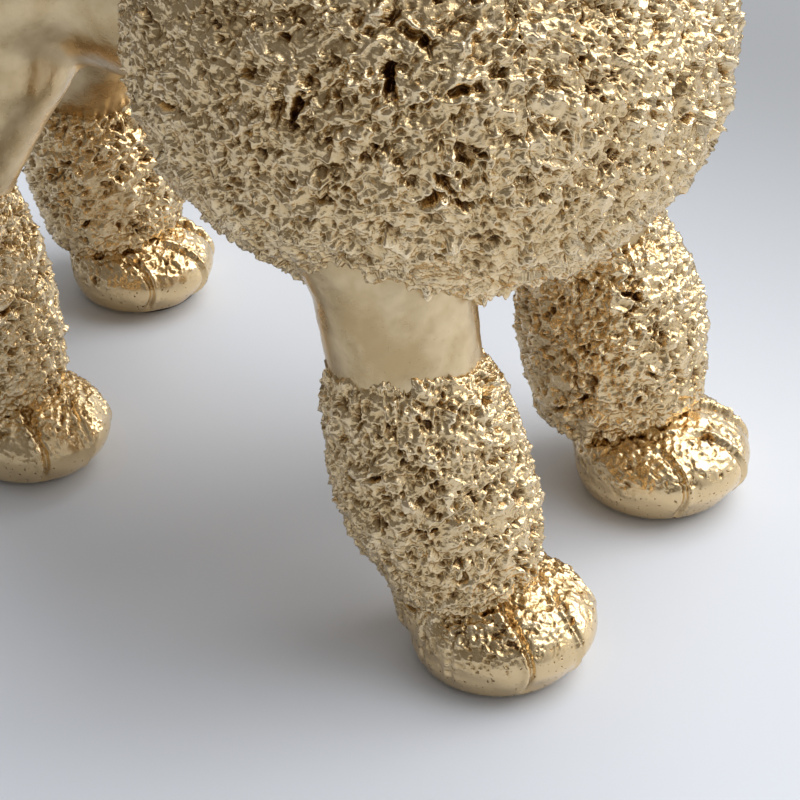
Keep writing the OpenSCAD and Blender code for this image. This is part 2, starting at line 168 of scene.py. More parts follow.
def add_ball(bm, centre, radii, turn=Matrix()):
    """Adds an ellipsoid with those radii."""
    ball = bmesh.ops.create_icosphere(bm, subdivisions=4, radius=1)
    place = Matrix.Translation(centre) @ turn.to_4x4() @ Matrix.Diagonal((*radii, 1))
    bmesh.ops.transform(bm, matrix=place, verts=ball["verts"])


def add_taper(bm, foot, top, foot_r, top_r):
    """Adds a round taper between two points."""
    along = top - foot
    taper = bmesh.ops.create_cone(bm, cap_ends=True, segments=64,
                                  radius1=foot_r, radius2=top_r, depth=along.length)
    place = Matrix.Translation((foot + top) / 2) @ along.to_track_quat("Z", "Y").to_matrix().to_4x4()
    bmesh.ops.transform(bm, matrix=place, verts=taper["verts"])


def object_from(name, mesh):
    piece = bpy.data.objects.new(name, mesh)
    bpy.context.scene.collection.objects.link(piece)
    return piece


def settle(piece):
    """Turns a piece and its modifiers into a plain mesh."""
    graph = bpy.context.evaluated_depsgraph_get()
    mesh = bpy.data.meshes.new_from_object(piece.evaluated_get(graph),
                                           preserve_all_data_layers=True, depsgraph=graph)
    piece.modifiers.clear()
    piece.data = mesh
    mesh.name = piece.name
    mesh.shade_smooth()
    return piece


def sponged(name, bm, grain, passes, refine=0):
    """Fuses overlapping lumps of clay into one skin, smooths its creases and refines its faces."""
    mesh = bpy.data.meshes.new(name)
    bm.to_mesh(mesh)
    bm.free()
    piece = object_from(name, mesh)
    remesh = piece.modifiers.new("fuse", "REMESH")
    remesh.mode, remesh.voxel_size = "VOXEL", grain
    smooth = piece.modifiers.new("sponge", "SMOOTH")
    smooth.factor, smooth.iterations = 0.5, passes
    if refine:
        finer = piece.modifiers.new("refine", "SUBSURF")
        finer.levels = finer.render_levels = refine
    return settle(piece)


def open_tree(name, sizes):
    """A surface's node tree with those named sizes and a finish, its inputs and their identifiers."""
    tree = bpy.data.node_groups.new(name, "GeometryNodeTree")
    inputs = [("Geometry", "Geometry"), *((size, "Float") for size in sizes), ("Finish", "Material")]
    identifier = {}
    for label, kind in inputs:
        socket = tree.interface.new_socket(label, in_out="INPUT", socket_type="NodeSocket" + kind)
        identifier[label] = socket.identifier
    tree.interface.new_socket("Geometry", in_out="OUTPUT", socket_type="NodeSocketGeometry")
    t = Tree(tree)
    given = tree.nodes.new("NodeGroupInput")
    return t, {s.name: Field(t, s) for s in given.outputs if s.name}, identifier


def close_tree(t, moved, finish):
    """Ends a surface's tree with real geometry and its finish."""
    solid = t.add("GeometryNodeRealizeInstances", None, {"Geometry": moved})
    done = t.add("GeometryNodeSetMaterial", None, {"Geometry": solid, "Material": finish})
    t.tree.links.new(done.socket, t.tree.nodes.new("NodeGroupOutput").inputs[0])


def dimple_tree():
    """Nodes that push a smooth casting in and out a little, as a thumbed and sponged surface is."""
    t, value, identifier = open_tree("sponged surface", ("Dimple Size", "Dimple Depth"))
    place = t.add("GeometryNodeInputPosition")
    sizes = t.add("ShaderNodeCombineXYZ", None, {i: value["Dimple Size"] for i in range(3)})
    where = t.vector("DIVIDE", place, sizes)
    push = (t.noise(where, 1.0, 2.0, 0.5) - 0.5) * 2 * value["Dimple Depth"]
    moved = t.add("GeometryNodeSetPosition", None, {
        "Geometry": value["Geometry"],
        "Offset": t.scaled(t.add("GeometryNodeInputNormal"), push)})
    close_tree(t, moved, value["Finish"])
    return t.tree, identifier


DIMPLES, DIMPLE_INPUT = dimple_tree()


def dimple(piece, size=9 * MM, depth=0.35 * MM):
    """Dimples and glazes a smooth casting."""
    surface = piece.modifiers.new("surface", "NODES")
    surface.node_group = DIMPLES
    surface[DIMPLE_INPUT["Dimple Size"]] = size
    surface[DIMPLE_INPUT["Dimple Depth"]] = depth
    surface[DIMPLE_INPUT["Finish"]] = SATIN_GOLD
    settle(piece)


def place_smooth(piece, *nodes):
    """Makes a smooth casting stand for its CAD nodes."""
    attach(piece, "root")
    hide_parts(*nodes)


MANE_DROP = 60 * MM  # from the mane's middle down to its lowest crumbs
LOIN_DROP = 6 * MM  # from the mane's middle down to the level of the loin's
RUMP = 36 * MM  # from the middle of the hips back to the rump
THIGHS = ((-1, "rear_right"), (1, "rear_left"))
mane_low = corners("mane_right_shoulder")[0]
mane_r = -mane_low.x
mane_level = mane_low.z + MANE_DROP
mane_c = Vector((0, corners("mane_back")[1].y - mane_r, mane_level))
loin_z = mane_level - LOIN_DROP
skin_z = loin_z + 1 * MM  # the smooth skin's middle, a little above that level
hip_y = corners("body_shell")[1].y - RUMP

REAR_LEAN = math.radians(14)
rear_axis = Vector((0, math.sin(REAR_LEAN), math.cos(REAR_LEAN)))

torso = bmesh.new()
add_ball(torso, mane_c, (64 * MM, 64 * MM, 54 * MM))
add_taper(torso, Vector((0, mane_c.y, skin_z)), Vector((0, hip_y, skin_z)), 31 * MM, 29 * MM)
add_ball(torso, Vector((0, hip_y - 2 * MM, skin_z)), (32 * MM, 37 * MM, 32 * MM))
rear_low = {}
for side, name in THIGHS:
    low, high = corners(name + "_bracelet")
    cuff = middle(name + "_bracelet")
    cuff_half = (high.z - low.z) / 2 - 4 * MM
    cuff_top = cuff + rear_axis * cuff_half
    rear_low[name] = cuff - rear_axis * cuff_half
    hip = Vector((side * 22 * MM, hip_y + 4 * MM, skin_z))
    knee = Vector((side * 27 * MM, hip_y + 1 * MM, loin_z - 22 * MM))
    add_ball(torso, hip, (24 * MM, 29 * MM, 29 * MM))
    add_ball(torso, knee, (19 * MM, 20 * MM, 20 * MM))
    add_taper(torso, cuff_top + rear_axis * 2 * MM, hip, 16 * MM, 22 * MM)
    add_taper(torso, cuff_top + rear_axis * 2 * MM, knee, 15.6 * MM, 19 * MM)
    add_taper(torso, rear_low[name], cuff_top + rear_axis * 4 * MM, 11 * MM, 15.6 * MM)
skin = sponged("torso_skin", torso, 1.3 * MM, 70)


def trim(bm, point, normal):
    """Cuts away what lies behind a plane, and gives the edges of the opening."""
    cut = bmesh.ops.bisect_plane(bm, geom=bm.verts[:] + bm.edges[:] + bm.faces[:],
                                 plane_co=point, plane_no=normal, clear_inner=True)
    return [e for e in cut["geom_cut"] if isinstance(e, bmesh.types.BMEdge)]


def cut_out(source, name, planes):
    """A closed copy of source, keeping what lies in front of every plane (point, normal)."""
    bm = bmesh.new()
    bm.from_mesh(source.data)
    for point, normal in planes:
        for face in bm.faces:
            face.smooth = True
        rim = trim(bm, point, normal)
        for edge in rim:
            edge.smooth = False
        bmesh.ops.holes_fill(bm, edges=rim, sides=0)
    bmesh.ops.recalc_face_normals(bm, faces=bm.faces)
    mesh = bpy.data.meshes.new(name)
    bm.to_mesh(mesh)
    bm.free()
    mesh.materials.append(SATIN_GOLD)
    return object_from(name, mesh)


# The lute line of each thigh slants from the rump out past the flank.
lute = {side: (Vector((side * 24 * MM, hip_y, 0)), Vector((side, 0.3, 0)).normalized())
        for side, name in THIGHS}
dimple(skin)
body = cut_out(skin, "body_casting", [(point, -normal) for point, normal in lute.values()])
place_smooth(body, "body_shell")
for side, name in THIGHS:
    leg = cut_out(skin, name + "_leg_casting", [lute[side]])
    place_smooth(leg, name + "_leg")
bpy.data.objects.remove(skin)


# ---- Front legs ----
# Slip-cast tubes that lean forward, luted to the chest under the mane. Only a short smooth band
# of each shows between the mane and the bracelet; the glaze there is the most even on the dog.

FRONT_LEAN = math.radians(15.5)
front_axis = Vector((0, math.sin(FRONT_LEAN), math.cos(FRONT_LEAN)))


def turned(foot, axis, outline, columns):
    """Rings of points turned round an axis, with the faces between them, open at both ends.

    outline is an array of (distance along the axis from foot, radius), one row for each ring.
    """
    axis = axis.normalized()
    across = axis.cross(Vector((0, 1, 0))).normalized()
    third = axis.cross(across)
    angle = np.linspace(0, 2 * math.pi, columns, endpoint=False)
    ring = np.outer(np.cos(angle), across) + np.outer(np.sin(angle), third)
    rows = len(outline)
    along, radius = outline[:, 0, None, None], outline[:, 1, None, None]
    points = np.asarray(foot) + along * np.asarray(axis) + radius * ring
    here = np.arange(rows * columns).reshape(rows, columns)
    after = np.roll(here, -1, axis=1)
    quads = np.stack([here[:-1], after[:-1], after[1:], here[1:]], axis=-1).reshape(-1, 4)
    return points.reshape(-1, 3), quads


def mesh_from(name, points, faces):
    """Mesh from arrays of points and of equally sided faces."""
    mesh = bpy.data.meshes.new(name)
    mesh.vertices.add(len(points))
    mesh.vertices.foreach_set("co", np.asarray(points, dtype=np.float32).ravel())
    sides = faces.shape[1]
    mesh.loops.add(faces.size)
    mesh.loops.foreach_set("vertex_index", faces.astype(np.int32).ravel())
    mesh.polygons.add(len(faces))
    mesh.polygons.foreach_set("loop_start", np.arange(0, faces.size, sides, dtype=np.int32))
    mesh.update(calc_edges=True)
    return mesh


# Millimetres along a front leg from its ankle to the bracelet's top, the elbow and the leg's root
FRONT_CUFF, FRONT_ELBOW, FRONT_ROOT = 57, 84, 102
knee_r, elbow_r = 18.4 * MM, 19.3 * MM
front_foot = {}
for name, inward in (("front_right", 1), ("front_left", -1)):
    foot = middle(name + "_bracelet") - front_axis * (FRONT_CUFF / 2) * MM
    front_foot[name] = foot
    bm = bmesh.new()
    knee = foot + front_axis * FRONT_CUFF * MM
    elbow = foot + front_axis * FRONT_ELBOW * MM + Vector((inward * 1.2, -1.8, 0)) * MM
    add_taper(bm, foot, knee, 13 * MM, knee_r)
    add_taper(bm, knee, elbow, knee_r, elbow_r)
    add_taper(bm, elbow, foot + front_axis * FRONT_ROOT * MM, elbow_r, 20 * MM)
    add_ball(bm, elbow, (elbow_r,) * 3)
    add_ball(bm, knee, (knee_r,) * 3)
    leg = sponged(name + "_leg_casting", bm, 0.9 * MM, 10)
    dimple(leg, 7 * MM, 0.4 * MM)
    place_smooth(leg, name + "_leg")


# ---- Mane ----
# Stiff crumbed clay pressed on over the damp chest in four pads, then torn and pricked into a
# mass of pits, thin ridges and curled folds. Its colour holds painted shade and painted light:
# dark brown in the pits and slits, pale gold where the crust stands proud.

CRUST_SCALES = ("Grain Size", "Grain Depth", "Fold Size", "Fold Depth", "Lump Size", "Lump Depth")


def crust_tree():
    """Nodes that crumble a surface along its outward direction, in pits, folds and lumps.

    Every size and depth is in millimetres.
    """
    t, value, identifier = open_tree("crumbed coat", CRUST_SCALES)
    place = t.scaled(t.add("GeometryNodeInputPosition"), 1 / MM)
    outward = t.add("GeometryNodeInputNamedAttribute", {"data_type": "FLOAT_VECTOR"}, {"Name": "outward"})

    def centred(vector):
        return t.vector("SUBTRACT", vector, (0.5, 0.5, 0.5))

    def shrunk(vector, size):
        return t.scaled(vector, 1 / size)

    def cells(where, output, feature="F1"):
        return t.add("ShaderNodeTexVoronoi", {"feature": feature},
                     {"Vector": where, "Scale": 1.0}, output)

    def channel(vector, number):
        return t.add("ShaderNodeSeparateXYZ", None, {"Vector": vector}, number)

    def dot(a, b):
        return t.add("ShaderNodeVectorMath", {"operation": "DOT_PRODUCT"}, {0: a, 1: b}, 1)

    def ridge(field, width):
        """1 along the line where field crosses a half, falling to 0 at width from it."""
        return (1 - abs(field - 0.5) / width).math("MAXIMUM", 0.0)

    def strayed(where, patch, detail, reach):
        """where, pushed sideways by up to half of reach in patches of that size."""
        stray = centred(t.noise(place, patch, detail, 0.5, "Color"))
        return t.vector("ADD", where, t.scaled(stray, reach))

    crumpled = strayed(place, 6.0, 1.0, 4.0)
    grained = strayed(crumpled, 2.2, 0.0, 2.0)

    # Pits: cells of unequal depth whose walls stand up as thin ridges
    def pits(size, shallow):
        where = shrunk(grained, size)
        hollow = t.smooth_step(cells(where, "Distance", "DISTANCE_TO_EDGE"), 0.02, 0.27)
        deep = t.smooth_step(channel(cells(where, "Color"), 0), shallow, 0.8, 0.15, 1.0)
        return hollow * deep

    pit = pits(value["Grain Size"], 0.15)
    gouge = pits(value["Grain Size"] * 2.3, 0.5)

    # Flakes: plates of crust that tilt every way and step past each other along their torn edges
    flake_place = shrunk(crumpled, value["Fold Size"])
    tilt = centred(cells(flake_place, "Color"))
    from_middle = t.vector("SUBTRACT", flake_place, cells(flake_place, "Position"))
    flake = dot(tilt, from_middle) * 2.2 + channel(tilt, 2) * 0.7
    crest = ridge(t.noise(t.vector("ADD", flake_place, (7.3, 2.1, 4.4)), 0.9, 1.0), 0.1) ** 1.5

    # Slits: short deep tears with a raised lip along one side
    slit_place = shrunk(crumpled, value["Fold Size"] * 1.35)
    lie = centred(cells(slit_place, "Color"))
    way = t.add("ShaderNodeVectorMath", {"operation": "CROSS_PRODUCT"}, {0: lie, 1: outward})
    way = t.add("ShaderNodeVectorMath", {"operation": "NORMALIZE"}, {0: way})
    step = t.vector("SUBTRACT", slit_place, cells(slit_place, "Position"))
    along = dot(step, way)
    across = t.add("ShaderNodeVectorMath", {"operation": "LENGTH"},
                   {0: t.vector("SUBTRACT", step, t.scaled(way, along))}, 1)
    torn = t.smooth_step(channel(lie, 1), -0.05, 0.05)
    slit = (1 - t.smooth_step((along / 0.5) ** 2 + (across / 0.11) ** 2, 0.2, 1.0)) * torn
    lip = (1 - t.smooth_step((along / 0.5) ** 2 + ((across - 0.2) / 0.1) ** 2, 0.2, 1.0)) * torn

    lump_place = shrunk(crumpled, value["Lump Size"])
    lump = ((t.noise(lump_place, 1.0, 1.0) - 0.5) * 2
            + (t.noise(lump_place, 0.4, 1.0) - 0.5) * 1.2)

    calm = t.smooth_step(t.noise(place, 5.0, 1.0), 0.5, 0.64, 1.0, 0.35)
    crumbs = t.noise(place, 1.5, 1.0, 0.5) - 0.5
    height = (value["Lump Depth"] * lump
              + value["Fold Depth"] * (flake + crest * 0.5 + lip * 0.5 - slit * 1.2 - 0.2)
              - value["Grain Depth"] * calm * (pit + gouge * 0.9 - crumbs * 1.6 - 0.3))

    coat = t.add("GeometryNodeInputNamedAttribute", {"data_type": "FLOAT"}, {"Name": "coat"})
    ragged = t.noise(place, 3.5, 2.0, 0.6) - 0.5
    grip = t.smooth_step(coat + 4.4 * ragged * coat * (1 - coat), 0.2, 0.7)
    curl = t.scaled(centred(t.noise(place, 2.6, 1.0, 0.5, "Color")),
                    value["Fold Depth"] * grip * 0.9 * MM)
    offset = t.vector("ADD", t.scaled(outward, height * grip * MM), curl)
    # painted shade and painted light: the colour darkens in pits, gouges and slits and lightens on
    # flakes, crests and lips
    shade = (0.72 + flake * 0.1 + crest * 0.1 + lip * 0.15 - slit * 0.5
             - calm * (pit * 0.42 + gouge * 0.3 - crumbs * 0.5))
    marked = value["Geometry"]
    for name, field in (("relief", shade * grip + 0.7 * (1 - grip)), ("crust", grip)):
        marked = t.add("GeometryNodeStoreNamedAttribute", {"data_type": "FLOAT", "domain": "POINT"},
                       {"Geometry": marked, "Name": name, "Value": field})
    moved = t.add("GeometryNodeSetPosition", None, {"Geometry": marked, "Offset": offset})
    close_tree(t, moved, value["Finish"])
    return t.tree, identifier


CRUST, CRUST_INPUT = crust_tree()


def crusted_gold():
    """Metallic glaze over crumbed clay, painted pale on the ridges and dark brown in the pits as painted
    shade.
    """
    material, t, shader = new_material("crusted gold glaze")
    place = t.scaled(t.add("ShaderNodeTexCoord", output="Object"), 1 / MM)
    relief = t.add("ShaderNodeAttribute", {"attribute_name": "relief"}, output="Fac")
    crust = t.add("ShaderNodeAttribute", {"attribute_name": "crust"}, output="Fac")
    grit = t.noise(place, 0.9, 2.0, 0.5)
    sparse = t.smooth_step(t.noise(place, 1.0, 1.0, 0.5), 0.66, 0.74) * (1 - crust)
    shade_level = relief + 0.3 * crust * (grit - 0.5) - 0.45 * sparse
    # painted shade: the ramp runs from near-black brown in the pits to pale gold on the ridges, and
    # sparse pocks on the bare parts are painted darker too
    colour = t.add("ShaderNodeValToRGB", {"stops": [
        (0.1, (0.12, 0.055, 0.015)), (0.36, (0.37, 0.225, 0.085)),
        (0.6, (0.74, 0.54, 0.28)), (0.95, (0.92, 0.745, 0.49))]}, {"Fac": shade_level})
    t.plug(shader.inputs["Base Color"], colour)
    t.plug(shader.inputs["Roughness"], 0.2 + 0.08 * grit + 0.1 * sparse)
    relief_bump = crust * grit - sparse
    bump = t.add("ShaderNodeBump", None, {"Strength": 0.7, "Distance": 0.3 * MM, "Height": relief_bump})
    t.plug(shader.inputs["Normal"], bump)
    shader.inputs["Metallic"].default_value = 1.0
    shader.inputs["Coat Weight"].default_value = 0.4
    shader.inputs["Coat Roughness"].default_value = 0.12
    return material


CRUSTED_GOLD = crusted_gold()


def crumble(piece, coat, outward, nodes, grain, fold, lump):
    """Crusts a piece, which stands for those CAD nodes.

    coat is 1 where the crumbed clay lies and 0 where it's bare, and outward is the way each
    point is pushed. grain, fold and lump are each (size, depth) in millimetres.
    """
    mesh = piece.data
    for name, kind, field, numbers in (("coat", "FLOAT", "value", coat),
                                       ("outward", "FLOAT_VECTOR", "vector", outward)):
        numbers = np.asarray(numbers, dtype=np.float32).ravel()
        mesh.attributes.new(name, kind, "POINT").data.foreach_set(field, numbers)
    smooth = np.empty(len(mesh.polygons), dtype=bool)
    mesh.polygons.foreach_get("use_smooth", smooth)
    surface = piece.modifiers.new("crust", "NODES")
    surface.node_group = CRUST
    for name, number in zip(CRUST_SCALES, (*grain, *fold, *lump)):
        surface[CRUST_INPUT[name]] = float(number)
    surface[CRUST_INPUT["Finish"]] = CRUSTED_GOLD
    settle(piece)
    piece.data.polygons.foreach_set("use_smooth", smooth)
    for name in ("coat", "outward"):
        piece.data.attributes.remove(piece.data.attributes[name])
    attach(piece, "root")
    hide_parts(*nodes)


def orange_segment(from_angle, to_angle, rows, outer, inner):
    """Closed wedge of a thick egg between two upright planes through its axis.

    outer and inner are (radius, drop, rise). The outside is a net of even triangles, rows of them
    from the waist to each pole, that narrow to one point there. Gives the points, the outside's
    faces, the other faces and the outside's outward directions.
    """
    def place(size, up, round_):
        radius, drop, rise = size
        height = np.where(up < 0, drop, rise) * np.sin(up)
        flat = radius * np.cos(up)
        return np.stack([flat * np.cos(round_), flat * np.sin(round_), height], -1)

    levels = np.arange(2 * rows + 1)
    level = (levels / rows - 1) * math.pi / 2
    count = [min(i, 2 * rows - i) + 1 for i in levels]
    start = np.concatenate([[0], np.cumsum(count)])
    up = np.repeat(level, count)
    along = np.concatenate([np.linspace(0, 1, n) if n > 1 else np.array([0.5]) for n in count])
    round_ = from_angle + along * (to_angle - from_angle)
    skin_points = place(outer, up, round_)
    triangles = []
    for i in range(2 * rows):
        a, b, n = start[i], start[i + 1], count[i]
        if count[i + 1] > n:
            j = np.arange(n)
            triangles.append(np.stack([a + j, b + j + 1, b + j], -1))
            j = np.arange(n - 1)
            triangles.append(np.stack([a + j, a + j + 1, b + j + 1], -1))
        else:
            j = np.arange(n - 1)
            triangles.append(np.stack([a + j, a + j + 1, b + j], -1))
            j = np.arange(n - 2)
            triangles.append(np.stack([a + j + 1, b + j + 1, b + j], -1))
    skin_faces = np.concatenate(triangles)

    columns = 9
    grid_up = np.repeat(level, columns)
    grid_round = np.tile(np.linspace(from_angle, to_angle, columns), len(level))
    lining = place(inner, grid_up, grid_round)
    g = len(skin_points) + np.arange(len(level) * columns).reshape(-1, columns)
    g[0], g[-1] = g[0, 0], g[-1, -1]
    quads = np.stack([g[:-1, :-1], g[1:, :-1], g[1:, 1:], g[:-1, 1:]], -1).reshape(-1, 4)
    lining_faces = np.concatenate([quads[:, [0, 1, 2]], quads[:, [0, 2, 3]]])
    lining_faces = lining_faces[np.diff(np.sort(lining_faces, axis=1), axis=1).min(axis=1) > 0]
    first, last = start[:-1], start[1:] - 1
    walls = []
    for edge, column, flip in ((first, 0, False), (last, columns - 1, True)):
        strip = np.stack([edge[:-1], edge[1:], g[1:, column], g[:-1, column]], -1)
        strip = strip[:, ::-1] if flip else strip
        walls += [strip[:, [0, 1, 2]], strip[:, [0, 2, 3]]]
    radius, drop, rise = outer
    tall = np.where(skin_points[:, 2:] < 0, drop, rise)
    outward = skin_points / np.concatenate([np.full((len(up), 2), radius), tall], -1) ** 2
    outward /= np.linalg.norm(outward, axis=1, keepdims=True)
    points = np.concatenate([skin_points, lining])
    return points, skin_faces, np.concatenate([lining_faces, *walls]), outward


MANE_GRAIN, MANE_FOLD, MANE_LUMP = (2.2, 1.1), (7.5, 1.6), (19.0, 1.3)
SHOULDER = math.radians(50)  # half of the angle that a shoulder pad spans
mane_outer = (mane_r - 1.5 * MM, 58.0 * MM, 71.0 * MM)
mane_inner = (mane_r - 8 * MM, 52 * MM, 64 * MM)
# The whole mane sits a little to the right and back on the chest
MANE_SET = np.asarray(mane_c) + np.array([-1.4, 2.1, 0.5]) * MM
quarter = {
    "mane_left_shoulder": (-SHOULDER, SHOULDER, 216),
    "mane_back": (SHOULDER, math.pi - SHOULDER, 216),
    "mane_right_shoulder": (math.pi - SHOULDER, math.pi + SHOULDER, 300),
    "mane_chest": (math.pi + SHOULDER, 2 * math.pi - SHOULDER, 300),
}
for node, (from_angle, to_angle, rows) in quarter.items():
    points, skin_faces, hidden_faces, outward = orange_segment(
        from_angle, to_angle, rows, mane_outer, mane_inner)
    mesh = mesh_from(node + "_crust", points + MANE_SET, np.concatenate([skin_faces, hidden_faces]))
    mesh.polygons.foreach_set("use_smooth", np.arange(len(mesh.polygons)) < len(skin_faces))
    pad = object_from(mesh.name, mesh)
    coat = np.zeros(len(points))
    coat[:len(outward)] = 1
    outward = np.concatenate([outward, np.zeros((len(points) - len(outward), 3))])
    crumble(pad, coat, outward, [node], MANE_GRAIN, MANE_FOLD, MANE_LUMP)


# ---- Bracelets ----
# A crumbed sleeve round each lower leg, built on after the legs are luted. Its upper edge is
# feathered out by finger, so the crumbs thin to nothing over the smooth leg.

FEATHER = 7 * MM  # height above a bracelet over which its crumbs thin out
DIVE = 7 * MM  # how far the sleeve narrows there, down into the leg
BRACELET_CRUST = (1.8, 1.0), (5.5, 1.0), (13.0, 1.1)


def mesh_arrays(mesh):
    """The points of a mesh and the directions it faces there."""
    count = len(mesh.vertices)
    points, normals = np.empty(count * 3, dtype=np.float32), np.empty(count * 3, dtype=np.float32)
    mesh.vertices.foreach_get("co", points)
    mesh.vertex_normals.foreach_get("vector", normals)
    return points.reshape(-1, 3), normals.reshape(-1, 3)


def bracelet(name, foot, axis, length, radii, columns, step, bow=0, tilt=0):
    """Builds one leg's crusted sleeve, up from its ankle.

    radii are (foot, belly, top), and step is the height of a row of faces. Above length the
    sleeve narrows into the leg and its crumbs thin out. bow moves its foot forward, and tilt
    lifts its upper edge on the outer side.
    """
    foot_r, belly_r, top_r = radii
    rise = belly_r - (foot_r + top_r) / 2
    reach = np.linspace(0, 1, int(length * 1.2 / step))
    radius = foot_r * (1 - reach) + top_r * reach + rise * np.sin(math.pi * reach) ** 0.6
    above = np.linspace(0, 1, int(FEATHER / step))[1:]
    outside = np.concatenate([
        np.stack([length * reach, radius], -1),
        np.stack([length + FEATHER * above, top_r - DIVE * above ** 1.8], -1)])
    inside = np.stack([np.linspace(length + FEATHER, 0, 4),
                       np.linspace(top_r - 8 * MM, foot_r - 6 * MM, 4)], -1)
    outline = np.concatenate([outside, inside])
    height = outline[:, 0]
    points, quads = turned(foot, axis, outline, columns)
    low_down = np.clip(1 - height / (length * 0.6), 0, 1) ** 1.5
    points = points + np.repeat(low_down, columns)[:, None] * [0, -bow, 0]
    high_up = np.clip((height / length - 0.5) / 0.5, 0, 1) ** 2
    outer = np.array([math.copysign(1, foot.x), 0, 0])
    axis_out = height.repeat(columns) * (np.asarray(axis) @ outer)
    reach = (points - np.asarray(foot)) @ outer - axis_out
    lift = np.repeat(high_up, columns) * (0.5 + 0.5 * np.clip(reach / top_r, -1, 1)) * tilt
    points = points + lift[:, None] * np.asarray(axis)
    total = len(outline)
    low = np.arange(columns)
    high = (total - 1) * columns + low
    closing = np.stack([high, np.roll(high, -1), np.roll(low, -1), low], -1)
    mesh = mesh_from(name + "_bracelet_crust", points, np.concatenate([quads, closing]))
    mesh.polygons.foreach_set("use_smooth", np.ones(len(mesh.polygons), dtype=bool))
    piece = object_from(mesh.name, mesh)
    coat = np.clip((length + FEATHER * 1.1 - height) / FEATHER, 0, 1)
    coat = np.repeat(coat * (np.arange(total) < len(outside)), columns)
    crumble(piece, coat, mesh_arrays(mesh)[1], [name + "_bracelet"], *BRACELET_CRUST)


for name, radii, columns, step, bow, tilt in (("front_right", (15.0, 23.8, 17.6), 400, 0.34, 3.6, 9),
                                              ("front_left", (20.0, 24.6, 16.0), 330, 0.42, -2.4, 0)):
    bracelet(name, front_foot[name] - front_axis * 1 * MM, front_axis, FRONT_CUFF * MM,
             [r * MM for r in radii], columns, step * MM, bow * MM, tilt * MM)
for name, radii in (("rear_right", (15.6, 20.8, 16.2)), ("rear_left", (16.8, 22.2, 16.6))):
    low, high = corners(name + "_bracelet")
    bracelet(name, rear_low[name] - rear_axis * 1 * MM, rear_axis, high.z - low.z - 6 * MM,
             [r * MM for r in radii], 280, 0.44 * MM)


# ---- Paws ----
# Press-moulded paws with the toes marked apart by a knife while damp, which leaves a burr along
# each cut. The crumbed coat runs down over the instep and thins out on the smooth toes.

def paw(name, ankle, axis, centre, length, width, ankle_r):
    """Fuses an instep, a pad and four toes, and flattens the sole."""
    toe_r = width * 0.235
    bm = bmesh.new()
    add_taper(bm, ankle - axis * 8 * MM, ankle + axis * 0.3 * MM, ankle_r, ankle_r * 0.97)
    heel = centre + Vector((0, length * 0.5 - width * 0.37, width * 0.27))
    add_ball(bm, heel, (width * 0.34,) * 3)
    pad = centre + Vector((0, -length * 0.03, width * 0.23))
    add_ball(bm, pad, (width * 0.49, length * 0.5, width * 0.27))
    add_taper(bm, centre + Vector((0, 0, 0.2 * MM)), centre + Vector((0, 0, 6 * MM)),
              width * 0.44, width * 0.485)
    for i in (-1.5, -0.5, 0.5, 1.5):
        swing = math.radians(35 * i)
        toe = centre + Vector((math.sin(swing) * (width * 0.5 - toe_r),
                               -math.cos(swing) * (length * 0.51 - toe_r), toe_r * 0.9))
        root = centre + Vector((math.sin(swing) * width * 0.2, -math.cos(swing) * length * 0.17,
                                ankle.z - centre.z - 0.2 * MM - toe_r))
        add_ball(bm, toe, (toe_r,) * 3)
        add_taper(bm, toe, root, toe_r, toe_r * 0.96)
    # The front right paw is seen closest, so its grain is finer
    piece = sponged(name, bm, 0.8 * MM if name.startswith("front_right") else 1 * MM, 18, 1)
    bm = bmesh.new()
    bm.from_mesh(piece.data)
    bmesh.ops.holes_fill(bm, edges=trim(bm, centre, Vector((0, 0, 1))), sides=0)
    bm.to_mesh(piece.data)
    bm.free()
    return piece


def press(piece, points, normals, push, unit=1.0):
    """Moves a piece's points outwards by push, which is in that unit."""
    pressed = points + normals * push[:, None] * unit
    piece.data.vertices.foreach_set("co", pressed.astype(np.float32).ravel())


# Each cut between toes: where it starts (outward, back) from the paw's middle, as shares of its
# width and length, how far it turns outward from straight ahead, its depth and its half width
TOE_CUTS = [
    ((0.15, -0.10), 30, 2.8 * MM, 1.25 * MM),
    ((-0.10, -0.24), 24, 1.8 * MM, 1.0 * MM),
    ((-0.30, -0.12), -14, 1.5 * MM, 0.9 * MM),
    ((0.30, 0.06), 66, 0.5 * MM, 0.9 * MM),
    ((0.33, 0.20), 84, 0.4 * MM, 0.8 * MM),
]


def cut_toes(piece, centre, length, width, side):
    """Presses the cuts into a paw and lifts a burr along each one's inner edge."""
    points, normals = mesh_arrays(piece.data)
    place = points - np.asarray(centre)
    push = np.zeros(len(points))
    for (out, back), turn, depth, half in TOE_CUTS:
        start = np.array([side * out * width, back * length])
        angle = math.radians(turn)
        ahead = np.array([side * math.sin(angle), -math.cos(angle)])
        step = place[:, :2] - start
        far = step @ ahead
        off = (step[:, 0] * ahead[1] - step[:, 1] * ahead[0]) * side
        off = off + 0.7 * MM * np.sin(far / (5 * MM))
        narrow = half * np.clip(1.15 - far / (26 * MM), 0.4, 1)
        run = (np.clip((far + 1 * MM) / (4 * MM), 0, 1)
               * np.clip((place[:, 2] - 1 * MM) / (3 * MM), 0, 1))
        push -= run * depth * (narrow / half) * np.exp(-((off / narrow) ** 2))
        push += run * depth * 0.4 * np.exp(-(((off + 1.7 * narrow) / (0.75 * half)) ** 2))
    press(piece, points, normals, push)
    piece.data.update()


